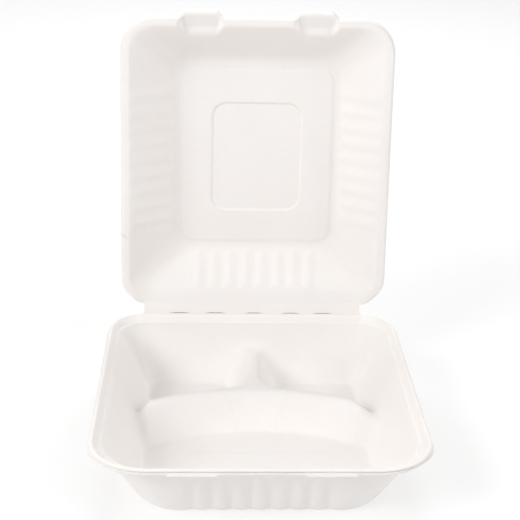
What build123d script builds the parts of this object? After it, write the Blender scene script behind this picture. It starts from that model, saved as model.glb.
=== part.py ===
from build123d import *
import os
from math import radians, sin, cos, tan, atan, degrees

# Takeaway box pressed from bagasse pulp: a three-compartment tray and a domed lid
# that turns about the scored fold line behind the tray.
# Frame: millimetres, +Z up, +X to the right, +Y towards the fold. The origin is on
# the underside of the tray's floor, in the middle of the tray. The lid stands open.

# ---------------------------------------------------------------- driving sizes
WALL = 0.9                  # pulp thickness

# tray
TRAY_W = 205.2              # across the rim, outside
TRAY_D = 218.2              # front of the rim to the fold line
TRAY_H = 44.0               # underside to the crest of the rim
RIM_R_FRONT = 36.0          # plan radius of the rim's front corners
RIM_R_BACK = 28.0           # plan radius of the rim's back corners
SKIRT = 4.3                 # height of the rim's turned-down edge
RIM_ROUND = 2.2             # round of the rim's outer edge
CREST_IN = 4.0              # from the outer edge to where the rim starts to slope inwards
SEAT_IN = 7.4               # from the outer edge to the foot of that slope
SEAT_DROP = 4.0             # depth of the ledge below the crest
WALL_IN = 10.6              # from the outer edge to the top of the wall
CREST_IN_BACK = 0.7         # the same four distances at the fold
SEAT_IN_BACK = 6.6
WALL_IN_BACK = 11.0
FLOOR_HX = 74.0             # half width of the floor's underside, to the sharp corner
FLOOR_HY = 82.5             # half depth of the floor's underside, to the sharp corner
WALL_R_FRONT = 29.0         # plan radius of the wall's front corners, at the ledge
FLOOR_R_FRONT = 26.0        # plan radius of the floor's front corners
FLOOR_R_BACK = 18.0         # plan radius of the floor's back corners
FLOOR_FILLET = 8.0          # round between floor and wall, inside

# dividers
DIV_H = 24.0                # crest of the dividers above the table
DIV_CENTRE_Y = -106.8       # centre of the arched divider's plan radius
DIV_R = 135.3               # plan radius of the arched divider, at the middle of its crest
DIV_CREST = 7.0             # width of the crest
DIV_SLOPE = 65.0            # slope of the divider's faces, degrees
DIV_SWEEP = 84.0            # plan angle that the arched divider spans, degrees
DIV_FOOT_R = 7.0            # round at the foot of the dividers
DIV_TOP_R = 2.6             # round at the edges of the crest

# pressed ribs in the walls
RIB_R = 3.0
LID_RIB_LEN = 33.0
TRAY_RIBS, TRAY_RIB_PITCH = 8, 11.6     # in the tray's front wall
SIDE_RIBS, SIDE_RIB_PITCH = 9, 11.3     # in each side wall of the lid
FOLD_RIBS, FOLD_RIB_PITCH = 8, 11.5     # in the lid's wall by the fold
SIDE_RIB_MID = 111.0        # from the fold line to the middle of the rows in the lid's sides

# seats for the lock tabs in the front rim
TAB_X = 40.0                # from the middle of the box to the middle of a tab
SEAT_LEN = 28.0

# lid, described closed
LID_W = 190.8
LID_L = 205.3
STRIP = 6.75                # from the fold line to the lid's rim
STRIP_W = 159.0
STRIP_LAP = 0.62            # depth to which the strip runs into the flange's turned edge
STRIP_RISE = 0.5            # underside of the strip above the crest of the tray's rim
LID_R_FRONT = 24.5
LID_R_HINGE = 19.0
LID_DEPTH = 30.0            # underside of the flange to the inside of the roof
LID_DROP = 1.3              # underside of the flange below the crest of the tray's rim
FLANGE = 6.6
CURL = 3.2                  # height of the flange's turned edge
CURL_ROUND = 2.6            # round of that edge
ROOF_HX = 59.0              # half width of the roof, inside
ROOF_NEAR = 42.0            # from the fold line to the roof's near edge
ROOF_FAR = 182.0            # from the fold line to the roof's far edge
ROOF_R = 16.0
ROOF_FILLET = 6.0
PANEL1 = (109.5, 125.6, 9.0)    # stepped panel: width, length, corner radius
PANEL2 = (62.2, 77.8, 10.0)
PANEL_MID = 110.0           # from the fold line to the middle of both panels
PANEL_STEP = 0.9
TAB_ROWS = ((202.0, 10.0), (211.2, 15.2), (216.6, 10.6))   # distance from the fold, half width
TAB_TOP = 4.2               # top of a tab above the crest of the tray's rim
TAB_CLEAR = 0.45            # underside of a tab's lip above the crest

# fold
SLITS = (-53.0, -26.6, 1.2, 28.4, 52.0)     # middles of the perforations
SLIT_LEN = 13.0
SLIT_DEPTH = 1.0
FOLD_GAP = 0.35
LID_OPEN = 95.8             # angle of the lid from closed

os.makedirs("parts", exist_ok=True)

HALF_D = TRAY_D / 2


def rounded(z, hx, y_front, y_back, r_front, r_back):
    """Rounded rectangle at height z, with its own radii at the front and the back."""
    with BuildSketch(Plane.XY.offset(z)) as s:
        with Locations((0, (y_front + y_back) / 2)):
            Rectangle(2 * hx, y_back - y_front)
        fillet(s.vertices().group_by(Axis.Y)[0], r_front)
        fillet(s.vertices().group_by(Axis.Y)[-1], r_back)
    return s.sketch


def tray_rim(z, inset, inset_back):
    """Outline of the tray's rim, set in from its outer edge."""
    return rounded(z, TRAY_W / 2 - inset, -HALF_D + inset, HALF_D - inset_back,
                   RIM_R_FRONT - inset, RIM_R_BACK - inset)


# wall lines of the tray: half sizes at the underside and growth per millimetre of height
LEDGE_Z = TRAY_H - SEAT_DROP
WALL_SHIFT = 1.08 * WALL
SX = (TRAY_W / 2 - WALL_IN - FLOOR_HX + WALL_SHIFT) / LEDGE_Z
SF = (HALF_D - WALL_IN - FLOOR_HY + WALL_SHIFT) / LEDGE_Z
SB = (HALF_D - WALL_IN_BACK - FLOOR_HY + WALL_SHIFT) / LEDGE_Z


def tray_wall(z, below):
    """Outline of the tray's wall at height z: its inner face, or its outer face below."""
    shift = 0.0 if below else WALL_SHIFT
    r_top_f, r_top_b = WALL_R_FRONT, RIM_R_BACK - WALL_IN
    k = z / LEDGE_Z
    return rounded(z, FLOOR_HX - shift + SX * z,
                   -(FLOOR_HY - shift + SF * z), FLOOR_HY - shift + SB * z,
                   FLOOR_R_FRONT + (r_top_f - FLOOR_R_FRONT) * k + (WALL if below else 0),
                   FLOOR_R_BACK + (r_top_b - FLOOR_R_BACK) * k + (WALL if below else 0))


def divider_profile(below):
    """Section of a divider: half width at the floor, half width of the crest, crest height."""
    drop = WALL if below else 0.0
    pull = WALL / sin(radians(DIV_SLOPE)) - WALL / tan(radians(DIV_SLOPE)) if below else 0.0
    top = DIV_CREST / 2 - pull
    h = DIV_H - drop
    foot = top + (h - WALL + drop) / tan(radians(DIV_SLOPE))
    return foot, top, h


def tray_form(below):
    """Everything under one face of the tray's pulp: the upper face, or the lower face."""
    o = WALL if below else 0.0
    floor_z = WALL - o
    foot, top, h = divider_profile(below)
    crest_round = DIV_TOP_R - 0.6 if below else DIV_TOP_R
    foot_round = DIV_FOOT_R + o
    wide = foot + foot_round

    def half_section(mid):
        """Upright section of a divider about its middle, with a round at each foot."""
        return [(mid - wide, -12), (mid - wide, floor_z), (mid - foot, floor_z), (mid - top, h),
                (mid + top, h), (mid + foot, floor_z), (mid + wide, floor_z), (mid + wide, -12)]

    slope_shift = -0.3 * o

    with BuildPart() as pocket:
        loft(sections=[tray_wall(floor_z, below), tray_wall(LEDGE_Z - o, below)], ruled=True)
        fillet(pocket.faces().sort_by(Axis.Z)[0].edges(), FLOOR_FILLET + o)

    with BuildPart() as seat:
        loft(sections=[tray_rim(LEDGE_Z - o, SEAT_IN + slope_shift, SEAT_IN_BACK + slope_shift),
                       tray_rim(TRAY_H - o, CREST_IN + slope_shift, CREST_IN_BACK + slope_shift)],
             ruled=True)
        extrude(tray_rim(TRAY_H - o, CREST_IN + slope_shift, CREST_IN_BACK + slope_shift), amount=3)

    # the arched divider, turned about an upright axis in front of the tray
    arch_axis = Axis((0, DIV_CENTRE_Y, 0), (0, 0, 1))
    start = Plane(origin=(0, DIV_CENTRE_Y, 0),
                  x_dir=(cos(radians(90 - DIV_SWEEP / 2)), sin(radians(90 - DIV_SWEEP / 2)), 0),
                  z_dir=(sin(radians(90 - DIV_SWEEP / 2)), -cos(radians(90 - DIV_SWEEP / 2)), 0))
    with BuildPart() as arch:
        with BuildSketch(start) as section:
            with BuildLine():
                Polyline(*half_section(DIV_R), close=True)
            make_face()
            corners = section.vertices().group_by(Axis.Y)
            feet = [v for v in corners[1] if abs(v.X - DIV_R) < foot + 0.01]
            fillet(corners[-1], crest_round)
            fillet(feet, foot_round)
        revolve(axis=arch_axis, revolution_arc=DIV_SWEEP)
        extrude(tray_rim(-12, 4, 4), amount=60, mode=Mode.INTERSECT)

    # the straight ridge from the arch to the back wall
    with BuildPart() as ridge:
        with BuildSketch(Plane.XZ.offset(-(DIV_CENTRE_Y + DIV_R))) as section:
            with BuildLine():
                Polyline(*half_section(0), close=True)
            make_face()
            corners = section.vertices().group_by(Axis.Y)
            feet = [v for v in corners[1] if abs(v.X) < foot + 0.01]
            fillet(corners[-1], crest_round)
            fillet(feet, foot_round)
        extrude(amount=-(HALF_D - 8 - DIV_CENTRE_Y - DIV_R))

    # ribs pressed into the front wall
    lean = degrees(atan(SF))
    mid_z = 21.0
    with BuildPart() as ribs:
        with Locations(*[Location((x, -(FLOOR_HY - WALL_SHIFT / 2 + SF * mid_z), mid_z), (lean, 0, 0))
                         for x in [(i - (TRAY_RIBS - 1) / 2) * TRAY_RIB_PITCH for i in range(TRAY_RIBS)]]):
            Cylinder(RIB_R - o, 27 - 2 * o)
        fillet(ribs.edges().filter_by(GeomType.CIRCLE), 0.8 * (RIB_R - o))

    with BuildPart() as form:
        extrude(tray_rim(-12, o, o), amount=TRAY_H - o + 12)
        fillet(form.faces().sort_by(Axis.Z)[-1].edges(), RIM_ROUND - o)
        add(seat.part, mode=Mode.SUBTRACT)
        add(pocket.part, mode=Mode.SUBTRACT)
        add(arch.part)
        add(ridge.part)
        add(ribs.part)
    return form.part


tray_upper = tray_form(False)
tray_lower = tray_form(True)

with BuildPart() as base_tray:
    add(tray_upper)
    add(tray_lower, mode=Mode.SUBTRACT)
    # the turned-down edge of the rim ends above the table
    with BuildSketch(Plane.XY.offset(-13)):
        add(tray_rim(0, -2, -2))
        add(tray_rim(0, WALL + 0.6, WALL + 0.6), mode=Mode.SUBTRACT)
    extrude(amount=13 + TRAY_H - SKIRT, mode=Mode.SUBTRACT)
    # no turned edge along the fold
    with BuildSketch(Plane.XY.offset(TRAY_H - 8)):
        with Locations((0, HALF_D - 0.45)):
            Rectangle(STRIP_W, 1.9)
    extrude(amount=8 - 2.0, mode=Mode.SUBTRACT)
    # sloped seats for the lock tabs in the front of the rim
    with Locations(*[Location((x, -HALF_D - 0.35, TRAY_H + 0.05), (-40, 0, 0)) for x in (-TAB_X, TAB_X)]):
        Box(SEAT_LEN, 4.0, 1.7, mode=Mode.SUBTRACT)
base_tray.part.label = "base_tray"

# ------------------------------------------------------------------------- lid
FLANGE_Z = TRAY_H - LID_DROP
ROOF_Z = FLANGE_Z + LID_DEPTH


def lid_rim(z, inset):
    """Outline of the closed lid's flange, set in from its outer edge."""
    return rounded(z, LID_W / 2 - inset, HALF_D - STRIP - LID_L + inset, HALF_D - STRIP - inset,
                   LID_R_FRONT - inset, LID_R_HINGE - inset)


def roof(z, grow):
    """Outline of the closed lid's roof, grown sideways."""
    return rounded(z, ROOF_HX + grow, HALF_D - ROOF_FAR - grow, HALF_D - ROOF_NEAR + grow,
                   ROOF_R + grow, ROOF_R + grow)


def panel(z, size, grow):
    w, l, r = size
    y = HALF_D - PANEL_MID
    return rounded(z, w / 2 + grow, y - l / 2 - grow, y + l / 2 + grow, r + grow, r + grow)


def tab_outline(z, inset):
    """Six-sided outline of both lock tabs, seen from above, drawn in by inset."""
    (t0, w0), (t1, w1), (t2, w2) = TAB_ROWS
    with BuildSketch(Plane.XY.offset(z)) as s:
        for x in (-TAB_X, TAB_X):
            with BuildLine():
                Polyline((x - w0, HALF_D - t0), (x - w1, HALF_D - t1), (x - w2, HALF_D - t2),
                         (x + w2, HALF_D - t2), (x + w1, HALF_D - t1), (x + w0, HALF_D - t0),
                         close=True)
            make_face()
        if inset > 0:
            offset(amount=-inset, mode=Mode.REPLACE)
    return s.sketch


def lid_form(outside):
    """Everything under one face of the closed lid's dome: its outside, or its inside."""
    o = WALL if outside else 0.0
    edge = FLANGE - 1.32 * o
    lean_side = degrees(atan((LID_W / 2 - FLANGE - ROOF_HX) / LID_DEPTH))
    lean_near = degrees(atan((ROOF_NEAR - STRIP - FLANGE) / LID_DEPTH))
    mid = FLANGE_Z + 0.5 * LID_DEPTH
    mid_x = (LID_W / 2 - FLANGE + ROOF_HX) / 2 + 0.6 * WALL
    mid_y = HALF_D - (STRIP + FLANGE + ROOF_NEAR) / 2 + 0.6 * WALL
    # a rib on the inside is a groove on the outside
    r = RIB_R - o
    with BuildPart() as ribs:
        steps = [(i - (SIDE_RIBS - 1) / 2) * SIDE_RIB_PITCH for i in range(SIDE_RIBS)]
        across = [(i - (FOLD_RIBS - 1) / 2) * FOLD_RIB_PITCH for i in range(FOLD_RIBS)]
        spots = [Location((sx * mid_x, HALF_D - SIDE_RIB_MID + y, mid), (0, -sx * lean_side, 0))
                 for sx in (-1, 1) for y in steps]
        spots += [Location((x, mid_y, mid), (lean_near, 0, 0)) for x in across]
        with Locations(*spots):
            Cylinder(r, LID_RIB_LEN - 2 * o)
        fillet(ribs.edges().filter_by(GeomType.CIRCLE), 0.8 * r)

    with BuildPart() as dome:
        loft(sections=[lid_rim(FLANGE_Z, edge), roof(ROOF_Z + o, 0.42 * o)], ruled=True)
        fillet(dome.faces().sort_by(Axis.Z)[-1].edges(), ROOF_FILLET + o)

    with BuildPart() as form:
        add(dome.part)
        add(ribs.part, mode=Mode.SUBTRACT)
        # the wide panel is pressed inwards, the small one inside it outwards again
        extrude(panel(ROOF_Z + o - PANEL_STEP, PANEL1, -0.4 * o), amount=4, mode=Mode.SUBTRACT)
        extrude(panel(ROOF_Z + o - PANEL_STEP, PANEL2, 0.4 * o), amount=PANEL_STEP)
        # lock tabs
        tab_top = TRAY_H + TAB_TOP - (0.0 if outside else WALL)
        extrude(tab_outline(FLANGE_Z - (0 if outside else 2), 0 if outside else WALL),
                amount=tab_top - FLANGE_Z + (0 if outside else 2))
        if not outside:
            extrude(lid_rim(FLANGE_Z - 2, edge), amount=2)
    return form.part


lid_outer = lid_form(True)
lid_inner = lid_form(False)

# flange, with its edge rolled away from the tray
with BuildPart() as flange_face:
    extrude(lid_rim(FLANGE_Z, 0), amount=CURL)
    fillet(flange_face.faces().sort_by(Axis.Z)[0].edges(), CURL_ROUND)

with BuildPart() as flange_back:
    extrude(lid_rim(FLANGE_Z + WALL, WALL), amount=CURL + 1)
    fillet(flange_back.faces().sort_by(Axis.Z)[0].edges(), CURL_ROUND - WALL)

with BuildPart() as lid:
    add(flange_face.part)
    add(flange_back.part, mode=Mode.SUBTRACT)
    add(lid_outer)
    # strip that runs to the fold line
    with BuildSketch(Plane.XY.offset(TRAY_H + STRIP_RISE)):
        with Locations((0, HALF_D - (STRIP + STRIP_LAP + FOLD_GAP) / 2)):
            Rectangle(STRIP_W, STRIP + STRIP_LAP - FOLD_GAP)
    extrude(amount=WALL)
    add(lid_inner, mode=Mode.SUBTRACT)
    # the lips of the tabs stay above the tray's rim
    with BuildSketch(Plane.XY.offset(FLANGE_Z - 3)):
        with Locations((0, HALF_D - STRIP - LID_L - 5.02)):
            Rectangle(2 * TAB_X + 40, 10)
    extrude(amount=3 + LID_DROP + TAB_CLEAR, mode=Mode.SUBTRACT)
    # perforations along the fold
    with BuildSketch(Plane.XY.offset(TRAY_H - 2)):
        with Locations(*[(x, HALF_D - FOLD_GAP) for x in SLITS]):
            Rectangle(SLIT_LEN, 2 * SLIT_DEPTH)
    extrude(amount=6, mode=Mode.SUBTRACT)

lid_open = lid.part.rotate(Axis((0, HALF_D, TRAY_H), (1, 0, 0)), -LID_OPEN)
lid_open.label = "lid"

export_step(base_tray.part, "parts/base_tray.step")
export_step(lid_open, "parts/lid.step")
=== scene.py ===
import math

import bpy
import numpy as np
from mathutils import Matrix, Vector


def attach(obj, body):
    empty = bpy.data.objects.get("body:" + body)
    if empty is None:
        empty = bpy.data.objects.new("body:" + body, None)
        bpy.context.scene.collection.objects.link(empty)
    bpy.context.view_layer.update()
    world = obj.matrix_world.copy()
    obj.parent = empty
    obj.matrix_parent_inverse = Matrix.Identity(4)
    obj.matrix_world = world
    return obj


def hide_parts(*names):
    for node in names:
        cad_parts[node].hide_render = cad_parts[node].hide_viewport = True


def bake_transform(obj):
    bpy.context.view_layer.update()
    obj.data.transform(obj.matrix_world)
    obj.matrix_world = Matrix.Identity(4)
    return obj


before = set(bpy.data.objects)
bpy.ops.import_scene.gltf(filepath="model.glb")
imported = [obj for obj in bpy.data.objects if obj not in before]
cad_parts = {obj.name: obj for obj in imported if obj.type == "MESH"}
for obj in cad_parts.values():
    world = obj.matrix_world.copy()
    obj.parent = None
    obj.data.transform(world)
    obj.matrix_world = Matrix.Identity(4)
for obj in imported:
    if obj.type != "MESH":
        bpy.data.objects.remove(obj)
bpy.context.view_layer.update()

# All shapes are worked out in millimetres in the box's own frame and turned into metres
# when a mesh is made. Upright is +Z, the fold is at the back, towards +Y.
MM = 0.001
WALL = 0.9

# tray
W2 = 102.6               # half width of the rim
HD = 109.1               # half depth of the tray
H = 44.0                 # height of the rim's crest
RF, RB = 36.0, 28.0      # plan radii of the rim's corners, front and back
LEDGE = 4.0              # ledge below the crest
FOLD_HALF = 78.0         # half length of the fold

# lid, described closed: t runs from the fold to the lid's front, h up from its flange
LW2 = 95.4
LID_NEAR = 6.75          # from the fold to the flange
LID_L = 205.3
LID_MID = LID_NEAR + LID_L / 2
LRF, LRB = 24.5, 19.0
FLANGE_Z = H - 1.3
LID_OPEN = math.radians(95.8)
TAB_X = 40.0


# ------------------------------------------------------------------ small helpers
def smooth(a, b, x):
    t = np.clip((x - a) / (b - a), 0.0, 1.0)
    return t * t * (3.0 - 2.0 * t)


def smax(a, b, k):
    h = np.maximum(k - np.abs(a - b), 0.0) / k
    return np.maximum(a, b) + h * h * h * k / 6.0


def smin(a, b, k):
    return -smax(-a, -b, k)


def box_dist(x, y, hx, hf, hb, rf, rb):
    """Signed distance to a rounded rectangle with its own front and back halves, and the outward y direction."""
    back = y >= 0.0
    hy = np.where(back, hb, hf)
    r = np.where(back, rb, rf)
    qx = np.abs(x) - (hx - r)
    qy = np.abs(y) - (hy - r)
    out = np.hypot(np.maximum(qx, 0.0), np.maximum(qy, 0.0))
    d = out + np.minimum(np.maximum(qx, qy), 0.0) - r
    ny = np.where(out > 1e-9, np.maximum(qy, 0.0) / np.maximum(out, 1e-9), (qy > qx).astype(float))
    return d, np.where(back, ny, -ny)


def solve_wall(x, y, shape, lo, hi, rising):
    """Height at which the outline of a drafted wall passes through each point."""
    a = np.full(x.shape, float(lo))
    b = np.full(x.shape, float(hi))
    for _ in range(24):
        m = 0.5 * (a + b)
        inside = shape(x, y, m) < 0.0
        go_down = inside if rising else ~inside
        b = np.where(go_down, m, b)
        a = np.where(go_down, a, m)
    return 0.5 * (a + b)


def bump_row(s, count, pitch, half):
    """A row of rounded ribs along s, each 1 at its middle."""
    i = np.clip(np.round(s / pitch + (count - 1) / 2.0), 0, count - 1)
    c = (i - (count - 1) / 2.0) * pitch
    q = np.clip(np.abs(s - c) / half, 0.0, 1.0)
    return 0.5 + 0.5 * np.cos(np.pi * q)


# ---------------------------------------------------------------- tray, upper face
FX, FY = 73.03, 81.53
SX = (W2 - 8.2 - FX) / 40.0
SF = (HD - 8.2 - FY) / 40.0
SB = (HD - 8.3 - FY) / 40.0
ARCH_Y, ARCH_R = -106.8, 135.3     # plan centre and radius of the arched divider
CREST = 24.0
DIV_SLOPE = math.tan(math.radians(63.0))


def tray_wall_shape(x, y, z):
    rib = 1.7 * bump_row(x, 8, 11.6, 5.8) * smooth(-3.0, 1.5, z) * (1.0 - smooth(29.0, 36.0, z))
    k = np.clip(z / 40.0, -0.5, 1.5)
    d, _ = box_dist(x, y, FX + SX * z, FY + SF * z - rib, FY + SB * z, 26.0 + 8.0 * k, 9.0 + 10.5 * k)
    return d


def tray_pockets(x, y):
    """The three pockets: walls and dividers meet in upright corners with a large plan radius."""
    s = np.hypot(x, y - ARCH_Y) - ARCH_R
    behind = np.maximum(smin(np.abs(s), np.abs(x), 28.0), 0.0)
    e = np.where(s < 0.0, -s, behind)
    # the crest sinks at its ends, next to the side walls
    crest = CREST - 6.5 * np.where(x < 0.0, smooth(70.0, 77.0, -x), smooth(63.0, 78.0, x))
    fillet = np.where(s < 0.0, 9.0, 10.0 + 12.0 * smooth(35.0, 75.0, y))

    def shape(x, y, z):
        u = (crest - z) / DIV_SLOPE
        half = np.where(z < crest, 2.3 + np.sqrt(np.maximum((u + 1.8) ** 2 - 3.24, 0.0)), 2.3 - (z - crest) * 10.0)
        return smax(tray_wall_shape(x, y, z), half - e, fillet)

    return solve_wall(x, y, shape, -30.0, 75.0, True)


def tray_rim(x, y):
    sd, ny = box_dist(x, y, W2, HD, HD, RF, RB)
    d = -sd
    side = smax(H - LEDGE + 0.0 * d, smin(H + 0.0 * d, H - (d - 3.5) * 1.30, 1.0), 0.9)
    back = smax(H - LEDGE + 0.0 * d, smin(H + 0.0 * d, H - (d - 0.7) * 0.74, 0.6), 1.2)
    # the ledge ends in a short steep step, and behind in a shallow channel for the edge of the lid
    side = side - 1.3 * smooth(7.9, 8.6, d)
    back = back - 0.55 * np.exp(-((d - 6.7) / 0.70) ** 2)
    w = smooth(0.3, 0.97, ny)
    return side * (1.0 - w) + back * w


def tray_top(x, y):
    panel, _ = box_dist(x, y + 44.5, 57.0, 28.5, 28.5, 9.0, 9.0)
    floor = 0.9 + 0.35 * smooth(1.2, -1.2, panel)
    z = smax(floor, tray_pockets(x, y), 4.0)
    return smin(z, tray_rim(x, y), 0.9)


# ------------------------------------------------------------------ lid, inner face
def lid_wall_shape(x, v, h):
    """x across, v from the middle of the lid, positive towards the fold, h above the flange."""
    win = smooth(-1.0, 4.0, h) * (1.0 - smooth(24.5, 29.5, h))
    side = 1.75 * bump_row(v - (LID_MID - 111.0), 9, 11.3, 5.65) * win
    near = 2.0 * bump_row(x, 8, 11.5, 5.75) * win
    k = np.clip(h / 30.0, -0.5, 1.5)
    hx = LW2 - 6.6 - (LW2 - 6.6 - 59.0) / 30.0 * h
    far = LID_L / 2 - 6.6 - (LID_L / 2 - 6.6 - 182.0 + LID_MID) / 30.0 * h
    nearh = LID_L / 2 - 6.6 - (LID_L / 2 - 6.6 - LID_MID + 42.0) / 30.0 * h
    side = side * (np.abs(v) < 60.0)
    near = near * (v > 0.0)
    d, _ = box_dist(x, v, hx - side, far, nearh - near, 17.9 - 1.9 * k, 12.4 + 3.6 * k)
    return d


def tab_fields(x, v):
    """Six-sided recesses of the two lock tabs: depth of the recess at each point."""
    t = LID_MID - v
    s = np.abs(np.abs(x) - TAB_X)
    u = np.maximum(213.3 - t, 0.0)
    floor = 1.75 + smin(0.62 * u, 4.15 + 0.12 * u, 0.8)
    side = 15.8 - np.maximum(t - 209.5, 0.0) * 0.85 - s
    return np.maximum(smin(floor, side * 1.5, 0.5), 0.0) * (t > 188.0)


PANEL1 = (54.75, 62.8, 9.0)        # half width, half length, corner radius
PANEL2 = (32.2, 39.2, 10.0)
PANEL_V = LID_MID - 110.0


def lid_inner(x, v):
    wall = solve_wall(x, v, lid_wall_shape, -40.0, 75.0, False)
    p1, _ = box_dist(x, v - PANEL_V, PANEL1[0], PANEL1[1], PANEL1[1], PANEL1[2], PANEL1[2])
    p2, _ = box_dist(x, v - PANEL_V, PANEL2[0], PANEL2[1], PANEL2[1], PANEL2[2], PANEL2[2])
    roof = 30.0 - 0.62 * smooth(1.3, -1.3, p1) + 1.35 * smooth(1.0, -1.0, p2)
    h = smin(roof, wall, 6.0)
    # beside the fold the flange leans in towards the wall
    lean = 0.40 * np.maximum(LID_L / 2 - v, 0.0) * smooth(60.0, 88.0, v) * smooth(88.0, 72.0, np.abs(x))
    h = smax(h, lean, 1.8 + 2.4 * smooth(-78.0, -92.0, v))
    return smax(h, tab_fields(x, v), 1.0)


# ------------------------------------------------------------- ring-shaped grids
def ring_points(k, hx, hf, hb, rf, rb):
    """8 k points along a rounded rectangle, from the middle of its front left corner round anticlockwise."""
    p = np.arange(2 * k) / (2 * k)
    out = []
    corners = {"fl": (-(hx - rf), -(hf - rf), rf), "fr": (hx - rf, -(hf - rf), rf),
               "br": (hx - rb, hb - rb, rb), "bl": (-(hx - rb), hb - rb, rb)}
    runs = [("fl", "fr", -135.0), ("fr", "br", -45.0), ("br", "bl", 45.0), ("bl", "fl", 135.0)]
    for a, b, start in runs:
        ax, ay, ar = corners[a]
        bx, by, br = corners[b]
        la, lb = ar * math.pi / 4, br * math.pi / 4
        d0 = math.radians(start + 45.0)
        ea = np.array([ax + ar * math.cos(d0), ay + ar * math.sin(d0)])
        eb = np.array([bx + br * math.cos(d0), by + br * math.sin(d0)])
        ls = float(np.hypot(*(eb - ea)))
        s = p * (la + ls + lb)
        ang_a = math.radians(start) + s / max(ar, 1e-6)
        f = np.clip((s - la) / max(ls, 1e-9), 0.0, 1.0)
        ang_b = d0 + (s - la - ls) / max(br, 1e-6)
        first = s < la
        last = s > la + ls
        x = np.where(first, ax + ar * np.cos(ang_a), np.where(last, bx + br * np.cos(ang_b), ea[0] + (eb[0] - ea[0]) * f))
        y = np.where(first, ay + ar * np.sin(ang_a), np.where(last, by + br * np.sin(ang_b), ea[1] + (eb[1] - ea[1]) * f))
        out.append(np.stack([x, y], 1))
    return np.concatenate(out)


def ring_starts(K):
    return np.array([0] + [1 + 4 * k * (k - 1) for k in range(1, K + 1)])


def ring_table(K):
    """Number of the point at each place of a square grid that is stored ring by ring."""
    g = np.arange(-K, K + 1)
    i, j = np.meshgrid(g, g, indexing="ij")
    k = np.maximum(np.abs(i), np.abs(j))
    kk = np.maximum(k, 1)
    pos = np.where(j == -k, i + k,
          np.where((i == k) & (j != -k), 2 * kk + (j + k),
          np.where((j == k) & (i != k), 4 * kk + (k - i), 6 * kk + (k - j))))
    pos = np.where(k == 0, 0, np.mod(pos, 8 * kk))
    return ring_starts(K)[k] + pos, k


def table_quads(table, flip):
    q = np.stack([table[:-1, :-1], table[1:, :-1], table[1:, 1:], table[:-1, 1:]], -1).reshape(-1, 4)
    return q[:, ::-1] if flip else q


def relax(z, table, ring, last, rounds):
    """Softens the inner rings of a height field."""
    g = z[table]
    for _ in range(rounds):
        a = g.copy()
        a[1:-1, 1:-1] = 0.5 * g[1:-1, 1:-1] + 0.125 * (g[2:, 1:-1] + g[:-2, 1:-1] + g[1:-1, 2:] + g[1:-1, :-2])
        g = np.where(ring < last, a, g)
    out = z.copy()
    out[table] = g
    return out


def point_normals(verts, quads):
    n = np.cross(verts[quads[:, 2]] - verts[quads[:, 0]], verts[quads[:, 3]] - verts[quads[:, 1]])
    out = np.zeros_like(verts)
    for c in range(4):
        for a in range(3):
            out[:, a] += np.bincount(quads[:, c], weights=n[:, a], minlength=len(verts))
    return out / np.maximum(np.linalg.norm(out, axis=1, keepdims=True), 1e-12)


def make_mesh(name, verts, quads, sharp=None, dark=None, mark=None):
    me = bpy.data.meshes.new(name)
    me.vertices.add(len(verts))
    me.vertices.foreach_set("co", np.asarray(verts, dtype=np.float32).ravel() * MM)
    quads = np.asarray(quads, dtype=np.int32)
    me.loops.add(quads.size)
    me.loops.foreach_set("vertex_index", quads.ravel())
    me.polygons.add(len(quads))
    me.polygons.foreach_set("loop_start", np.arange(0, quads.size, 4, dtype=np.int32))
    me.update(calc_edges=True)
    me.polygons.foreach_set("use_smooth", np.ones(len(quads), dtype=bool))
    if dark is not None:
        me.polygons.foreach_set("material_index", np.asarray(dark, dtype=np.int32))
    me.validate()
    if mark is not None:
        at = me.attributes.new("mark", "FLOAT", "POINT")
        at.data.foreach_set("value", np.asarray(mark, dtype=np.float32))
    if sharp:
        me.set_sharp_from_angle(angle=math.radians(sharp))
    me.update()
    ob = bpy.data.objects.new(name, me)
    bpy.context.scene.collection.objects.link(ob)
    return ob


# --------------------------------------------------------------------- tray shell
# turned edge of the rim: distance in from the outer edge and height from the crest.
# At the sides it slopes out and ends in a short skirt
EDGE_SIDE = [(2.70, -0.01), (2.30, -0.05), (1.95, -0.17), (1.68, -0.40), (1.42, -0.80), (1.16, -1.25),
             (0.92, -1.70), (0.70, -2.10), (0.55, -2.38), (0.50, -2.52), (0.44, -2.66), (0.36, -2.85),
             (0.28, -3.05), (0.18, -3.35), (0.08, -3.75), (0.12, -4.08), (0.36, -4.29), (0.66, -4.28),
             (0.95, -4.00), (1.50, -3.20), (2.20, -2.30), (2.70, -1.60)]
# along the front a groove parts the lip from the skirt
EDGE_FRONT = [(2.70, -0.01), (2.20, -0.05), (1.75, -0.16), (1.36, -0.36), (1.06, -0.62), (0.92, -0.90),
              (0.96, -1.12), (1.35, -1.22), (2.10, -1.36), (2.25, -1.70), (1.95, -2.02), (1.30, -2.14),
              (0.95, -2.30), (0.98, -2.62), (1.40, -3.35), (1.80, -4.05), (2.02, -4.29), (2.28, -4.25),
              (2.44, -3.95), (2.62, -3.40), (2.85, -2.70), (2.95, -1.60)]
# at the seats of the lock tabs the skirt leans out
EDGE_SEAT = EDGE_FRONT[:10] + [(1.62, -1.86), (1.35, -2.08), (1.02, -2.36), (0.66, -2.70), (0.26, -3.10),
             (0.06, -3.60), (0.34, -4.27), (0.66, -4.28), (0.95, -4.00), (1.60, -3.30), (2.55, -2.55),
             (2.80, -1.60)]
# beside the fold there is no groove
EDGE_BACK = [(2.5, None), (2.0, None), (1.6, None), (1.25, None), (0.98, -0.05), (0.72, -0.13), (0.50, -0.30),
             (0.32, -0.55), (0.20, -0.85), (0.12, -1.20), (0.06, -1.60), (0.03, -2.00), (0.02, -2.40), (0.02, -3.00),
             (0.02, -3.70), (0.10, -4.08), (0.36, -4.29), (0.66, -4.28), (0.88, -4.00), (0.95, -3.20), (1.10, -2.40),
             (1.80, -1.80)]
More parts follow.
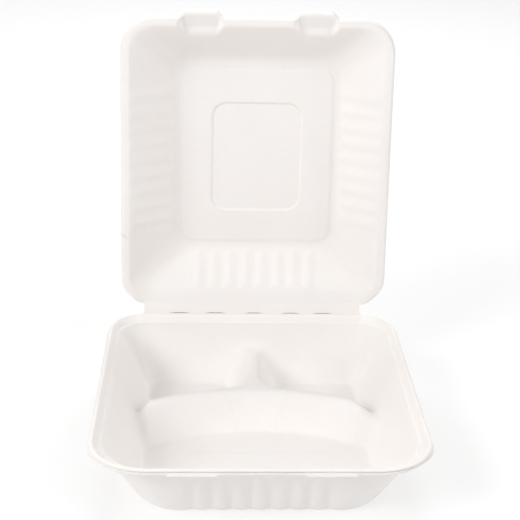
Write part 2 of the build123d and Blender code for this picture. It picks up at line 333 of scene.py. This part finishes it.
# along the fold the sheet just ends
EDGE_FOLD = [(2.7, None), (2.45, None), (2.2, None), (1.95, None), (1.72, None), (1.5, None), (1.3, None),
             (1.12, None), (0.98, None), (0.88, -0.10), (0.82, -0.22), (0.78, -0.36), (0.78, -0.52), (0.80, -0.66),
             (0.86, -0.80), (0.96, -0.92), (1.10, -1.02), (1.30, -1.14), (1.55, -1.30), (1.85, -1.47), (2.20, -1.66),
             (2.60, -1.87)]


def build_tray(K=98):
    rim_rings = 24
    inner_rings = K - rim_rings
    D0, D1 = 3.0, 13.0
    rings = [np.array([[0.0, 0.0]])]
    for k in range(1, K + 1):
        if k >= inner_rings:
            d = D0 + (D1 - D0) * (K - k) / rim_rings
            rings.append(ring_points(k, W2 - d, HD - d, HD - d, RF - d, RB - d))
        else:
            f = k / inner_rings
            a = (W2 - D1) * f
            rings.append(ring_points(k, a, (HD - D1) * f, (HD - D1) * f, min(RF - D1, 0.45 * a), min(RB - D1, 0.45 * a)))
    xy = np.concatenate(rings)
    table, ring = ring_table(K)
    z = relax(tray_top(xy[:, 0], xy[:, 1]), table, ring, inner_rings, 3)
    top = np.column_stack([xy, z])
    up = table_quads(table, False)
    low = top - WALL * point_normals(top, up)
    low[:, 2] = np.maximum(low[:, 2], 0.0)

    outer = ring_points(K, W2, HD, HD, RF, RB)
    dirn = outer - rings[K]
    dirn /= np.linalg.norm(dirn, axis=1, keepdims=True)
    _, ny = box_dist(outer[:, 0], outer[:, 1], W2, HD, HD, RF, RB)
    w_back = smooth(0.45, 0.97, ny)[:, None]
    w_front = smooth(0.25, 0.75, -ny)[:, None]
    w_fold = (smooth(FOLD_HALF + 1.2, FOLD_HALF - 1.2, np.abs(outer[:, 0])) * (outer[:, 1] > 0))[:, None]
    w_seat = np.zeros(len(outer))
    for c in (-TAB_X, TAB_X):
        w_seat = np.maximum(w_seat, smooth(15.4, 14.2, np.abs(outer[:, 0] - c)) * (outer[:, 1] < -HD + 1.0))
    w_seat = w_seat[:, None]

    def at(row):
        d, dz = row
        p = outer - dirn * d
        zz = tray_rim(p[:, 0], p[:, 1]) if dz is None else H + dz + 0.0 * p[:, 0]
        return np.column_stack([p, zz])

    skirt = []
    for side, front, seat, back, fold in zip(EDGE_SIDE, EDGE_FRONT, EDGE_SEAT, EDGE_BACK, EDGE_FOLD):
        p = at(side) * (1 - w_front) + at(front) * w_front
        p = p * (1 - w_seat) + at(seat) * w_seat
        p = p * (1 - w_back) + at(back) * w_back
        skirt.append(p * (1 - w_fold) + at(fold) * w_fold)
    verts = np.concatenate([top] + skirt + [low])
    m = 8 * K
    n_top = len(top)
    first = n_top - m
    starts = [first] + [n_top + i * m for i in range(len(skirt))] + [n_top + len(skirt) * m + first]
    quads = [up, table_quads(table + n_top + len(skirt) * m, True)]
    a = np.arange(m)
    b = (a + 1) % m
    for s0, s1 in zip(starts[:-1], starts[1:]):
        quads.append(np.stack([s0 + a, s1 + a, s1 + b, s0 + b], 1))
    return make_mesh("tray_shell", verts, np.concatenate(quads))


# ---------------------------------------------------------------------- lid shell
HINGE = np.array([0.0, HD, H])


def open_lid(p):
    """Closed-lid points turned about the fold to the open rest pose."""
    q = p - HINGE
    c, s = math.cos(-LID_OPEN), math.sin(-LID_OPEN)
    return np.column_stack([q[:, 0], q[:, 1] * c - q[:, 2] * s, q[:, 1] * s + q[:, 2] * c]) + HINGE


def tab_reach(x):
    """How far the lid's front edge runs out past its flange at the two tabs."""
    s = np.abs(np.abs(x) - TAB_X)
    return 4.6 * (1.0 - np.clip((s - 10.8) / 4.8, 0.0, 1.0))


# turned edge of the flange: distance in from its outer edge and height above the flange's
# face, all round and along the fold
ROLL = [(2.80, 0.04), (2.45, 0.12), (2.12, 0.25), (1.84, 0.46), (1.60, 0.78), (1.37, 1.20), (1.12, 1.74),
        (0.86, 2.36), (0.60, 3.02), (0.34, 3.68), (0.14, 4.10), (0.12, 4.30), (0.34, 4.42), (0.66, 4.30),
        (0.98, 3.60), (1.45, 2.55), (1.95, 1.60), (2.50, 1.04)]
ROLL_FOLD = [(2.60, 0.0), (2.20, 0.01), (1.80, 0.02), (1.45, 0.05), (1.12, 0.09), (0.86, 0.15), (0.62, 0.25),
             (0.42, 0.38), (0.28, 0.54), (0.18, 0.72), (0.12, 0.90), (0.16, 1.06), (0.30, 1.18), (0.55, 1.23),
             (0.90, 1.18), (1.35, 1.09), (1.85, 1.00), (2.40, 0.93)]


def lid_rings(K):
    """Rings of the lid's grid: they follow the stepped panels, then the walls, then the flange."""
    half = LID_L / 2
    D0, D1 = 3.2, 10.0
    a1, b1, r1 = PANEL1
    a2, b2, r2 = PANEL2
    rows = []

    def panel_row(a, b, r):
        rows.append((a, b - PANEL_V, b + PANEL_V, r, r, LW2 - a))

    for k in range(1, 24):
        f = k / 23.0
        panel_row((a2 - 1.35) * f, (b2 - 1.35) * f, 8.65 * f)
    for o in np.linspace(-1.05, 1.05, 8):
        panel_row(a2 + o, b2 + o, r2 + o)
    for k in range(1, 14):
        f = k / 13.0
        panel_row(a2 + 1.05 + (a1 - 1.8 - a2 - 1.05) * f, b2 + 1.05 + (b1 - 1.8 - b2 - 1.05) * f, r2 + 1.05 + (r1 - 1.8 - r2 - 1.05) * f)
    for o in np.linspace(-1.35, 1.35, 8):
        panel_row(a1 + o, b1 + o, r1 + o)
    a3, f3, k3, r3 = a1 + 1.35, b1 + 1.35 - PANEL_V, b1 + 1.35 + PANEL_V, r1 + 1.35
    wall_rows = K - len(rows) - 16
    for k in range(1, wall_rows + 1):
        f = k / wall_rows
        mix = lambda p, q: p + (q - p) * f
        rows.append((mix(a3, LW2 - D1), mix(f3, half - D1), mix(k3, half - D1), mix(r3, LRF - D1), mix(r3, LRB - D1), LW2 - mix(a3, LW2 - D1)))
    for k in range(1, 17):
        d = D1 + (D0 - D1) * k / 16.0
        rows.append((LW2 - d, half - d, half - d, LRF - d, LRB - d, d))
    return rows, D0


NICK = ((-95.0, 58.9), (-88.9, 54.3))      # a short crack across the flange, in x and t


def build_lid(K=98):
    rows, D0 = lid_rings(K)
    half = LID_L / 2
    rings = [np.array([[0.0, 0.0]])] + [ring_points(k + 1, *r[:5]) for k, r in enumerate(rows)]
    insets = [60.0] + [r[5] for r in rows]

    def shift(pts, d):
        """Draws the front of a ring out to the tabs."""
        w = 1.0 if d <= D0 else max(0.0, 1.0 - (d - D0) / 12.0)
        out = pts.copy()
        out[:, 1] -= tab_reach(pts[:, 0]) * w * smooth(-70.0, -88.0, pts[:, 1])
        return out

    xv = np.concatenate([shift(p, d) for p, d in zip(rings, insets)])
    table, ring = ring_table(K)
    h = relax(lid_inner(xv[:, 0], xv[:, 1]), table, (ring < 54) * 1000 + ring, K - 16, 2)
    inner = np.column_stack([xv, h])
    down = table_quads(table, False)
    outer = inner + WALL * point_normals(inner, down)
    rim = ring_points(K, LW2, half, half, LRF, LRB)
    dirn = rim - rings[K]
    dirn /= np.linalg.norm(dirn, axis=1, keepdims=True)
    _, ny = box_dist(rim[:, 0], rim[:, 1], LW2, half, half, LRF, LRB)
    w_fold = smooth(0.75, 0.99, ny)[:, None]
    base_pts = shift(rings[K], D0)
    lift = lid_inner(base_pts[:, 0], base_pts[:, 1])
    roll = []
    for (d, dh), (df, dhf) in zip(ROLL, ROLL_FOLD):
        p = np.column_stack([shift(rim - dirn * d, D0), lift + dh])
        q = np.column_stack([shift(rim - dirn * df, D0), lift * df / D0 + dhf])
        roll.append(p * (1 - w_fold) + q * w_fold)
    verts = np.concatenate([inner] + roll + [outer])
    m = 8 * K
    n_in = len(inner)
    first = n_in - m
    quads = [down[:, ::-1], table_quads(table + n_in + len(roll) * m, False)]
    starts = [first] + [n_in + i * m for i in range(len(roll))] + [n_in + len(roll) * m + first]
    a = np.arange(m)
    b = (a + 1) % m
    for s0, s1 in zip(starts[:-1], starts[1:]):
        quads.append(np.stack([s0 + b, s1 + b, s1 + a, s0 + a], 1))
    x, t, hh = verts[:, 0].copy(), LID_MID - verts[:, 1], verts[:, 2].copy()
    # the crack in the left of the flange
    (x0, t0), (x1, t1) = NICK
    f = np.clip(((x - x0) * (x1 - x0) + (t - t0) * (t1 - t0)) / ((x1 - x0) ** 2 + (t1 - t0) ** 2), 0.0, 1.0)
    wave = 0.35 * np.sin(9.0 * f)
    gap = np.hypot(x - x0 - (x1 - x0) * f - wave * 0.66, t - t0 - (t1 - t0) * f + wave * 0.75)
    near = (hh < 4.6) & (f < 1.0)
    hh += np.where(near, 0.25 * np.clip(1.0 - gap / 1.1, 0.0, 1.0) ** 1.5, 0.0)
    mark = np.where(near, 0.24 * smooth(1.2, 0.3, gap) * (1.0 - smooth(0.35, 1.0, f)), 0.0)
    # pressed pulp is never quite square: the lid leans a little to the right and narrows to the front
    x = x * (1.0 + 0.0042 * (1.0 - 2.0 * t / 212.0)) + 0.2 + 1.25 * t / 212.0 + 0.045 * np.clip(hh, 0.0, 31.0)
    closed = np.column_stack([x, HD - t, FLANGE_Z + hh])
    return make_mesh("lid_shell", open_lid(closed), np.concatenate(quads), mark=mark)


# --------------------------------------------------------------------- fold strip
SLITS = ((-59.9, -45.6), (-34.0, -19.8), (-5.2, 7.7), (21.9, 34.0), (44.5, 57.8))


def build_fold():
    """Thin strip from the tray's back edge round the fold to the lid's flange, with its perforations."""
    # middle line of the strip at rest, from tray to lid, measured from the fold line
    line = [(-2.85, -2.05), (-2.45, -1.65), (-2.10, -1.28), (-1.83, -0.94), (-1.64, -0.58), (-1.53, -0.20),
            (-1.47, 0.13), (-1.43, 0.49)]
    c, s = math.cos(-LID_OPEN), math.sin(-LID_OPEN)
    for t in (0.62, 0.86, 1.2, 1.7, 2.4, 3.2, 4.1, 5.0, 5.8, 6.5, 7.2, 7.9):
        yy, zz = -t, -1.55 + 0.14 * t
        line.append((yy * c - zz * s, yy * s + zz * c))
    line = np.array(line)
    tang = np.gradient(line, axis=0)
    tang /= np.linalg.norm(tang, axis=1, keepdims=True)
    norm = np.column_stack([-tang[:, 1], tang[:, 0]])     # towards the inside of the box
    cut = (7, 9)                            # the perforations cut these spans of the fold; a sheet inside each slit carries painted shade
    taper = {7: 0.0, 8: 2.4}
    xs = set(np.arange(-FOLD_HALF, FOLD_HALF + 0.01, 1.0).round(3).tolist())
    for a, b in SLITS:
        for q in (a, b):
            xs = {v for v in xs if abs(v - q) > 0.3}
        for q in (a, a + 1.8, a + 2.4, b - 2.4, b - 1.8, b):
            xs.add(round(q, 3))
    xs = np.array(sorted(xs))
    rows = len(line)
    half = {0: 0.41, 1: -0.41, 2: 0.05, 3: -0.05}
    verts, index = [], {}

    def vert(i, j, layer):
        key = (i, j, layer)
        if key not in index:
            off = norm[j] * half[layer]
            # the ends of the strip draw in between tray and lid
            u = np.clip((j - 6.0) / (rows - 7.0), 0.0, 1.0)
            flare = 1.6 * (2.0 * abs(u - 0.5)) ** 2.5 * smooth(64.0, FOLD_HALF, abs(xs[i]))
            index[key] = len(verts)
            verts.append((xs[i] + math.copysign(flare - 0.4 * (abs(xs[i]) > 64.0) * smooth(64.0, FOLD_HALF, abs(xs[i])), xs[i]),
                          HD + line[j][0] + off[0], H + line[j][1] + off[1]))
        return index[key]

    def slit(i, j):
        if not cut[0] <= j < cut[1]:
            return False
        mid = 0.5 * (xs[i] + xs[i + 1])
        return any(a + taper[j] < mid < b - taper[j] for a, b in SLITS)

    quads, dark = [], []

    def face(shade, *q):
        quads.append(q)
        dark.append(shade)

    cells = [(i, j) for i in range(len(xs) - 1) for j in range(rows - 1)]
    holes = {ij for ij in cells if slit(*ij)}
    for i, j in cells:
        hole = (i, j) in holes
        # inside a slit the faces lie on the two middle layers, a sheet that closes the slit and takes the
        # painted-shade material
        f, g = (2, 3) if hole else (0, 1)
        face(int(hole), vert(i, j, f), vert(i + 1, j, f), vert(i + 1, j + 1, f), vert(i, j + 1, f))
        face(int(hole), vert(i, j + 1, g), vert(i + 1, j + 1, g), vert(i + 1, j, g), vert(i, j, g))
        if hole:
            continue
        for (di, dj), (p, q) in {(-1, 0): ((i, j + 1), (i, j)), (1, 0): ((i + 1, j), (i + 1, j + 1)),
                                 (0, -1): ((i, j), (i + 1, j)), (0, 1): ((i + 1, j + 1), (i, j + 1))}.items():
            side = (i + di, j + dj)
            # the walls round a slit also take the painted-shade material
            if side in holes:
                face(1, vert(*q, 0), vert(*p, 0), vert(*p, 2), vert(*q, 2))
                face(1, vert(*q, 3), vert(*p, 3), vert(*p, 1), vert(*q, 1))
            elif not (0 <= side[0] < len(xs) - 1 and 0 <= side[1] < rows - 1):
                face(0, vert(*q, 0), vert(*p, 0), vert(*p, 1), vert(*q, 1))
    return make_mesh("fold_strip", np.array(verts), np.array(quads), sharp=50, dark=dark)


# ---------------------------------------------------------------------- materials
def pulp_material(name, painted_light_gain=1.0):
    mat = bpy.data.materials.new(name)
    mat.use_nodes = True
    nt = mat.node_tree
    N, L = nt.nodes, nt.links
    N.clear()
    out = N.new("ShaderNodeOutputMaterial")
    bsdf = N.new("ShaderNodeBsdfPrincipled")
    L.new(bsdf.outputs["BSDF"], out.inputs["Surface"])
    bsdf.inputs["Specular IOR Level"].default_value = 0.28
    geo = N.new("ShaderNodeTexCoord")

    def noise(scale, detail, rough=0.55, vec=None):
        n = N.new("ShaderNodeTexNoise")
        n.inputs["Scale"].default_value = scale
        n.inputs["Detail"].default_value = detail
        n.inputs["Roughness"].default_value = rough
        L.new(vec if vec is not None else geo.outputs["Object"], n.inputs["Vector"])
        return n

    def ramp(src, stops):
        r = N.new("ShaderNodeValToRGB")
        while len(r.color_ramp.elements) < len(stops):
            r.color_ramp.elements.new(0.5)
        for e, (p, c) in zip(r.color_ramp.elements, stops):
            e.position = p
            e.color = (*c, 1.0) if len(c) == 3 else c
        L.new(src, r.inputs["Fac"])
        return r

    # cloudy pulp: soft density patches a few centimetres wide and finer mottling
    cloud = noise(38.0, 3.0)
    mottle = noise(420.0, 4.0, 0.6)
    add = N.new("ShaderNodeMath"); add.operation = "MULTIPLY_ADD"
    add.inputs[1].default_value = 0.55
    L.new(cloud.outputs["Fac"], add.inputs[0])
    mul = N.new("ShaderNodeMath"); mul.operation = "MULTIPLY"
    mul.inputs[1].default_value = 0.45
    L.new(mottle.outputs["Fac"], mul.inputs[0])
    L.new(mul.outputs[0], add.inputs[2])
    # a gain above 1 paints light into the tone
    tone = ramp(add.outputs[0], [(q, tuple(painted_light_gain * v for v in c)) for q, c in
                                 ((0.30, (0.880, 0.847, 0.823)), (0.50, (0.893, 0.861, 0.838)), (0.70, (0.904, 0.874, 0.852)))])

    # single cane fibres: thin wavy flecks, a little darker and warmer
    warp = noise(160.0, 2.0)
    mixv = N.new("ShaderNodeMixRGB"); mixv.blend_type = "ADD"
    mixv.inputs[0].default_value = 0.02
    L.new(geo.outputs["Object"], mixv.inputs[1])
    L.new(warp.outputs["Color"], mixv.inputs[2])
    fib = N.new("ShaderNodeTexVoronoi")
    fib.feature = "DISTANCE_TO_EDGE"
    fib.inputs["Scale"].default_value = 150.0
    L.new(mixv.outputs[0], fib.inputs["Vector"])
    keep = noise(95.0, 2.0)
    fmask = ramp(fib.outputs["Distance"], [(0.0, (1, 1, 1)), (0.018, (0, 0, 0))])
    kmask = ramp(keep.outputs["Fac"], [(0.60, (0, 0, 0)), (0.68, (1, 1, 1))])
    fm = N.new("ShaderNodeMath"); fm.operation = "MULTIPLY"
    L.new(fmask.outputs["Color"], fm.inputs[0])
    L.new(kmask.outputs["Color"], fm.inputs[1])
    fs = N.new("ShaderNodeMath"); fs.operation = "MULTIPLY"
    fs.inputs[1].default_value = 0.12
    L.new(fm.outputs[0], fs.inputs[0])
    col = N.new("ShaderNodeMixRGB")
    col.inputs[2].default_value = (0.70, 0.62, 0.54, 1.0)
    L.new(fs.outputs[0], col.inputs[0])
    L.new(tone.outputs["Color"], col.inputs[1])
    # shade inside the crack
    mk = N.new("ShaderNodeAttribute")
    mk.attribute_name = "mark"
    crack = N.new("ShaderNodeMixRGB")
    crack.inputs[2].default_value = (0.42, 0.38, 0.34, 1.0)
    L.new(mk.outputs["Fac"], crack.inputs[0])
    L.new(col.outputs[0], crack.inputs[1])
    L.new(crack.outputs[0], bsdf.inputs["Base Color"])

    rough = ramp(mottle.outputs["Fac"], [(0.3, (0.70, 0.70, 0.70)), (0.7, (0.84, 0.84, 0.84))])
    L.new(rough.outputs["Color"], bsdf.inputs["Roughness"])

    # surface: slight orange-peel from pressing, over a fine fibrous tooth
    peel = noise(260.0, 3.0, 0.5)
    tooth = noise(1500.0, 3.0, 0.6)
    b1 = N.new("ShaderNodeBump")
    b1.inputs["Strength"].default_value = 0.10
    b1.inputs["Distance"].default_value = 0.0006
    L.new(peel.outputs["Fac"], b1.inputs["Height"])
    b2 = N.new("ShaderNodeBump")
    b2.inputs["Strength"].default_value = 0.12
    b2.inputs["Distance"].default_value = 0.0002
    L.new(tooth.outputs["Fac"], b2.inputs["Height"])
    L.new(b1.outputs["Normal"], b2.inputs["Normal"])
    L.new(b2.outputs["Normal"], bsdf.inputs["Normal"])
    return mat


def slit_painted_shade_material():
    """Painted shade for the perforations: the cut walls and the sheet that closes each slit, standing in for the
    dark gap seen through them.
    """
    mat = bpy.data.materials.new("slit")
    mat.use_nodes = True
    N, L = mat.node_tree.nodes, mat.node_tree.links
    bsdf = N["Principled BSDF"]
    co = N.new("ShaderNodeTexCoord")
    n = N.new("ShaderNodeTexNoise")
    n.inputs["Scale"].default_value = 900.0
    L.new(co.outputs["Object"], n.inputs["Vector"])
    r = N.new("ShaderNodeValToRGB")
    r.color_ramp.elements[0].position, r.color_ramp.elements[0].color = 0.3, (0.38, 0.342, 0.306, 1.0)
    r.color_ramp.elements[1].position, r.color_ramp.elements[1].color = 0.75, (0.56, 0.510, 0.462, 1.0)
    L.new(n.outputs["Fac"], r.inputs["Fac"])
    L.new(r.outputs["Color"], bsdf.inputs["Base Color"])
    bsdf.inputs["Roughness"].default_value = 0.95
    bsdf.inputs["Specular IOR Level"].default_value = 0.1
    return mat


pulp = pulp_material("pulp")
fold_painted_light = pulp_material("pulp_fold_painted_light", 1.055)      # painted light: the fold strip's tone is raised by 5.5% so that it renders as bright as the flange
tray = build_tray()
lid = build_lid()
strip = build_fold()
for ob, mat in ((tray, pulp), (lid, pulp), (strip, fold_painted_light)):
    ob.data.materials.append(mat)
# second slot: painted shade for the perforations
strip.data.materials.append(slit_painted_shade_material())
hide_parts("base_tray")
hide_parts("lid")
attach(tray, "tray_body")
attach(lid, "lid_body")
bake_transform(strip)

# -------------------------------------------------------------------------- stage
sc = bpy.context.scene
sc.view_settings.view_transform = "Standard"
sc.view_settings.look = "None"

fm = bpy.data.meshes.new("floor")
R = 6.0
fm.from_pydata([(-R, -R, 0), (R, -R, 0), (R, R, 0), (-R, R, 0)], [], [(0, 1, 2, 3)])
floor = bpy.data.objects.new("floor", fm)
sc.collection.objects.link(floor)
fmat = bpy.data.materials.new("floor")
fmat.use_nodes = True
fb = fmat.node_tree.nodes["Principled BSDF"]
fb.inputs["Base Color"].default_value = (0.47, 0.47, 0.47, 1.0)
fb.inputs["Roughness"].default_value = 0.9
fb.inputs["Specular IOR Level"].default_value = 0.1
fb.inputs["Emission Color"].default_value = (1.0, 1.0, 1.0, 1.0)
fb.inputs["Emission Strength"].default_value = 0.505
fm.materials.append(fmat)

world = bpy.data.worlds.new("studio")
sc.world = world
world.use_nodes = True
bg = world.node_tree.nodes["Background"]
bg.inputs["Color"].default_value = (1.0, 1.0, 1.0, 1.0)
bg.inputs["Strength"].default_value = 0.25


def area(name, loc, target, size, power):
    la = bpy.data.lights.new(name, "AREA")
    la.shape = "SQUARE"
    la.size = size
    la.energy = power
    ob = bpy.data.objects.new(name, la)
    sc.collection.objects.link(ob)
    ob.location = loc
    d = Vector(target) - Vector(loc)
    ob.rotation_euler = d.to_track_quat("-Z", "Y").to_euler()
    return ob


def lamp(name, az, el, size, power):
    """Soft box 2.4 m away: az from straight in front, positive to the right, el above the floor."""
    a, e = math.radians(az), math.radians(el)
    loc = (2.4 * math.sin(a) * math.cos(e), -2.4 * math.cos(a) * math.cos(e), 0.08 + 2.4 * math.sin(e))
    area(name, loc, (0.0, 0.05, 0.08), size, power)


lamp("key", -53.0, 33.0, 0.9, 25.0)
lamp("side", -75.0, 35.0, 1.3, 6.8)
lamp("fill", 50.0, 35.0, 1.3, 12.4)
lamp("fill_side", 75.0, 35.0, 1.3, 6.4)
lamp("fill_high", 45.0, 60.0, 1.3, 3.2)
lamp("fill_top", 90.0, 60.0, 1.3, 2.6)
lamp("back", 180.0, 50.0, 1.3, 28.7)

# ------------------------------------------------------------------------- camera
cam_data = bpy.data.cameras.new("camera")
cam_data.sensor_width = 36.0
cam_data.lens = 36.0 * 1216.0 / 520.0
cam_data.clip_start = 0.01
cam_data.clip_end = 50.0
cam = bpy.data.objects.new("camera", cam_data)
sc.collection.objects.link(cam)
yaw, pitch, roll = math.radians(2.47), math.radians(21.51), math.radians(1.31)
fwd = Vector((math.sin(yaw) * math.cos(pitch), math.cos(yaw) * math.cos(pitch), -math.sin(pitch)))
right = Vector((math.cos(yaw), -math.sin(yaw), 0.0))
up = right.cross(fwd)
r2 = math.cos(roll) * right + math.sin(roll) * up
u2 = -math.sin(roll) * right + math.cos(roll) * up
rot = Matrix((r2, u2, -fwd)).transposed()
cam.matrix_world = Matrix.Translation(Vector((-0.148 * 203.0 * MM, -3.453 * 203.0 * MM, (1.779 * 203.0 + H) * MM))) @ rot.to_4x4()
sc.camera = cam
